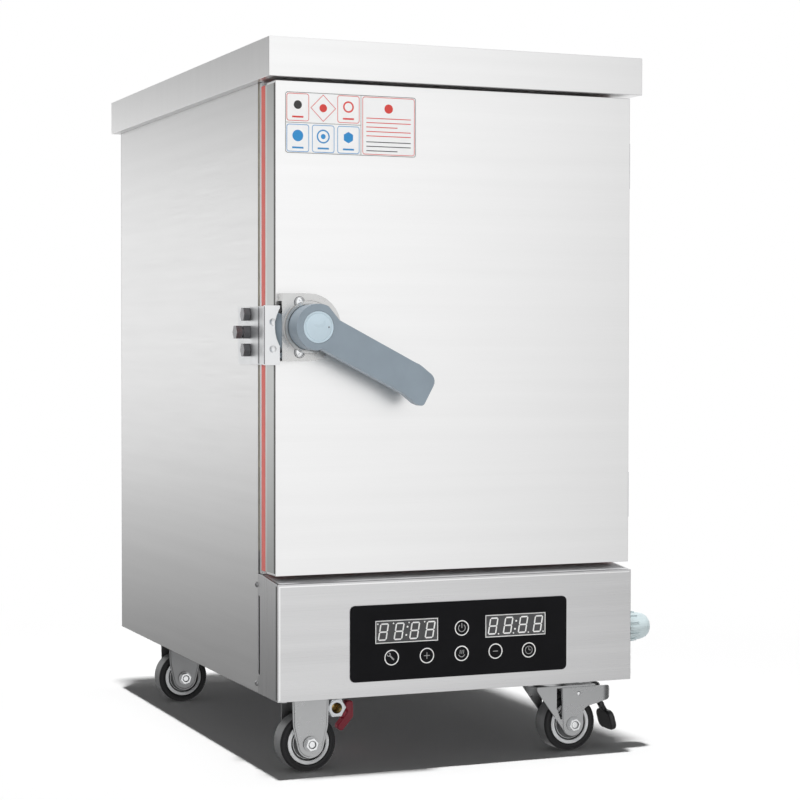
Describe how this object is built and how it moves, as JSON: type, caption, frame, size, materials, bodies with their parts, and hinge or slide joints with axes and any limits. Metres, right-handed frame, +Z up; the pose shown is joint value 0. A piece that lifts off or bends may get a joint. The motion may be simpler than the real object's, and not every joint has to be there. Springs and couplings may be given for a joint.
{
  "type": "rice steamer cabinet",
  "caption": "Insulated steel steaming cupboard on casters: one side-hinged door with a drooping lever latch, tray ledges inside, a keypad box with two displays below, drain and steam vent.",
  "frame": {"origin": "on the floor, under the middle of the whole object's box", "axes": "+Z up; the door and the keypad face -Y; +X is the viewer's right when facing the door, where the hinges and the cable gland are"},
  "size_m": [0.567, 0.8156, 0.93],
  "materials": {
    "brushed_steel": "fine brushed stainless sheet",
    "zinc_steel": "bright zinc plated pressings and bolts",
    "chrome": "polished plate",
    "black_overlay": "satin printed membrane",
    "display": "grey display window",
    "circuit_board": "lacquered board",
    "grey_nylon": "satin moulded nylon",
    "pale_cap": "smooth moulded cap",
    "pale_nylon": "satin moulded nylon",
    "silicone": "matt orange-red silicone",
    "foam": "rigid foam lagging",
    "red_vinyl": "dipped vinyl sleeve",
    "black_rubber": "smooth moulded tread",
    "grey_rim": "moulded rim",
    "black_nylon": "moulded pedal"
  },
  "bodies": {
    "cabinet": {"left_side_panel": "brushed_steel", "right_side_panel": "brushed_steel", "back_panel": "brushed_steel", "top_cap": "brushed_steel", "base_plate": "brushed_steel", "front_frame": "brushed_steel", "inner_tank": "brushed_steel", "insulation_jacket": "foam", "tray_rack_left": "brushed_steel", "tray_rack_right": "brushed_steel", "boiler_pan": "brushed_steel", "deck_plate": "brushed_steel", "heating_element": "zinc_steel", "drain_pipe": "chrome", "drain_valve_body": "chrome", "control_fascia": "brushed_steel", "control_panel": "black_overlay", "temperature_display": "display", "time_display": "display", "control_board": "circuit_board", "cable_gland_body": "pale_nylon", "cable_gland_nut": "pale_nylon", "strike_bracket": "zinc_steel", "strike_bolt_upper": "zinc_steel", "strike_bolt_middle": "zinc_steel", "strike_bolt_lower": "zinc_steel", "hinge_bracket_upper": "chrome", "hinge_bracket_lower": "chrome", "steam_vent": "brushed_steel", "rigid_fork_front": "zinc_steel", "rigid_fork_rear": "zinc_steel", "swivel_plate_front": "zinc_steel", "swivel_plate_rear": "zinc_steel", "axle_bolt_front_left": "zinc_steel", "axle_bolt_rear_left": "zinc_steel"},
    "door": {"door_outer_pan": "brushed_steel", "door_inner_pan": "brushed_steel", "door_insulation": "foam", "door_gasket": "silicone", "latch_housing": "chrome", "hinge_leaf_upper": "chrome", "hinge_leaf_lower": "chrome"},
    "handle": {"handle_lever": "grey_nylon", "handle_cap": "pale_cap", "latch_cam": "grey_nylon"},
    "drain_lever": {"drain_valve_lever": "red_vinyl"},
    "swivel_front": {"swivel_fork_front": "zinc_steel", "axle_bolt_front_right": "zinc_steel"},
    "swivel_rear": {"swivel_fork_rear": "zinc_steel", "axle_bolt_rear_right": "zinc_steel"},
    "brake_front": {"brake_pedal_front": "black_nylon"},
    "brake_rear": {"brake_pedal_rear": "black_nylon"},
    "wheel_front_left": {"tyre_front_left": "black_rubber", "wheel_rim_front_left": "grey_rim"},
    "wheel_front_right": {"tyre_front_right": "black_rubber", "wheel_rim_front_right": "grey_rim"},
    "wheel_rear_left": {"tyre_rear_left": "black_rubber", "wheel_rim_rear_left": "grey_rim"},
    "wheel_rear_right": {"tyre_rear_right": "black_rubber", "wheel_rim_rear_right": "grey_rim"}
  },
  "joints": [
    {"name": "door_swing", "type": "hinge", "parent": "cabinet", "child": "door", "pos_m": [0.24655, -0.30645, 0.2575], "axis": [0, 0, 1], "range_deg": [0, 180]},
    {"name": "handle_turn", "type": "hinge", "parent": "door", "child": "handle", "pos_m": [-0.22195, -0.37305, 0.5696], "axis": [0, 1, 0], "range_deg": [0, 38]},
    {"name": "drain_lever_turn", "type": "hinge", "parent": "cabinet", "child": "drain_lever", "pos_m": [-0.11213, -0.19995, 0.052], "axis": [0.866, 0, -0.5], "range_deg": [0, 90]},
    {"name": "front_swivel", "type": "hinge", "parent": "cabinet", "child": "swivel_front", "pos_m": [0.14305, -0.30495, 0.0899], "axis": [0, 0, 1], "continuous": true},
    {"name": "rear_swivel", "type": "hinge", "parent": "cabinet", "child": "swivel_rear", "pos_m": [0.14305, 0.26155, 0.0899], "axis": [0, 0, 1], "continuous": true},
    {"name": "front_brake", "type": "hinge", "parent": "swivel_front", "child": "brake_front", "pos_m": [0.21705, -0.30495, 0.072], "axis": [0, 1, 0], "range_deg": [0, 15]},
    {"name": "rear_brake", "type": "hinge", "parent": "swivel_rear", "child": "brake_rear", "pos_m": [0.21705, 0.26155, 0.072], "axis": [0, 1, 0], "range_deg": [0, 15]},
    {"name": "front_left_roll", "type": "hinge", "parent": "cabinet", "child": "wheel_front_left", "pos_m": [-0.20395, -0.30495, 0.0375], "axis": [0, 1, 0], "continuous": true},
    {"name": "rear_left_roll", "type": "hinge", "parent": "cabinet", "child": "wheel_rear_left", "pos_m": [-0.20395, 0.26155, 0.0375], "axis": [0, 1, 0], "continuous": true},
    {"name": "front_right_roll", "type": "hinge", "parent": "swivel_front", "child": "wheel_front_right", "pos_m": [0.17105, -0.30495, 0.0375], "axis": [0, 1, 0], "continuous": true},
    {"name": "rear_right_roll", "type": "hinge", "parent": "swivel_rear", "child": "wheel_rear_right", "pos_m": [0.17105, 0.26155, 0.0375], "axis": [0, 1, 0], "continuous": true}
  ]
}
